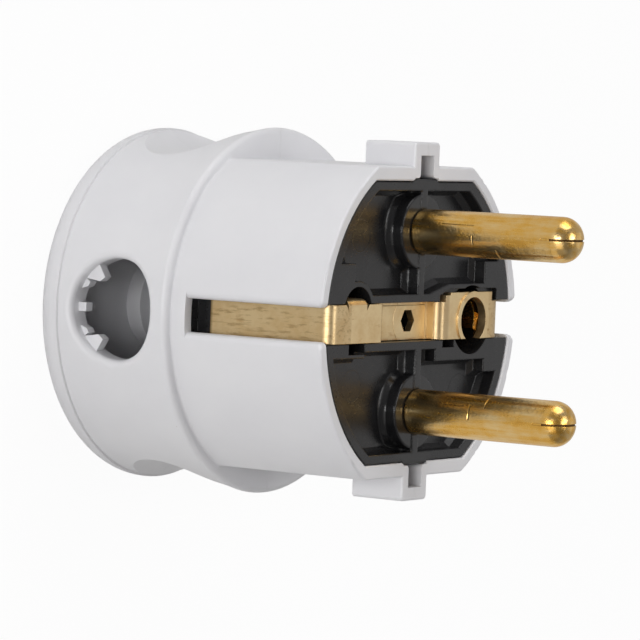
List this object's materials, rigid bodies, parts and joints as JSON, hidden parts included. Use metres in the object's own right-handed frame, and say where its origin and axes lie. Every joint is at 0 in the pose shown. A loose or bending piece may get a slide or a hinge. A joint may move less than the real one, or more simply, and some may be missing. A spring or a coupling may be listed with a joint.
{
  "type": "angled plug",
  "caption": "Right-angle earthed mains plug with round pins, white hood, black contact carrier, brass earth strip with side contacts and a side hole for the cord.",
  "frame": {"origin": "centre of the hood's flat back, at the bottom of the bounding box", "axes": "+Z along the contact pins towards their tips; +Y from the middle to the line pin; the cord enters from -X"},
  "size_m": [0.0395, 0.0394, 0.0562],
  "materials": {
    "white_plastic": "fine satin moulded plastic, white",
    "black_plastic": "glossy moulded plastic, black",
    "pin_brass": "bare rolled brass",
    "strip_brass": "pale spring brass, stamped",
    "terminal_brass": "machined brass",
    "screw_steel": "zinc-plated steel"
  },
  "bodies": {
    "root": {"hood": "white_plastic", "contact_carrier": "black_plastic", "line_pin": "pin_brass", "neutral_pin": "pin_brass", "line_terminal": "terminal_brass", "neutral_terminal": "terminal_brass", "earth_terminal": "terminal_brass", "line_terminal_screw": "screw_steel", "neutral_terminal_screw": "screw_steel", "earth_terminal_screw": "screw_steel", "line_guard_leaf": "screw_steel", "neutral_guard_leaf": "screw_steel", "earth_bridge": "strip_brass", "earth_sleeve": "pin_brass", "sleeve_spring_ring": "screw_steel", "fixing_screw": "screw_steel", "fixing_nut": "terminal_brass", "cord_clamp": "black_plastic", "cord_clamp_screw_near": "screw_steel", "cord_clamp_screw_far": "screw_steel"}
  },
  "joints": []
}
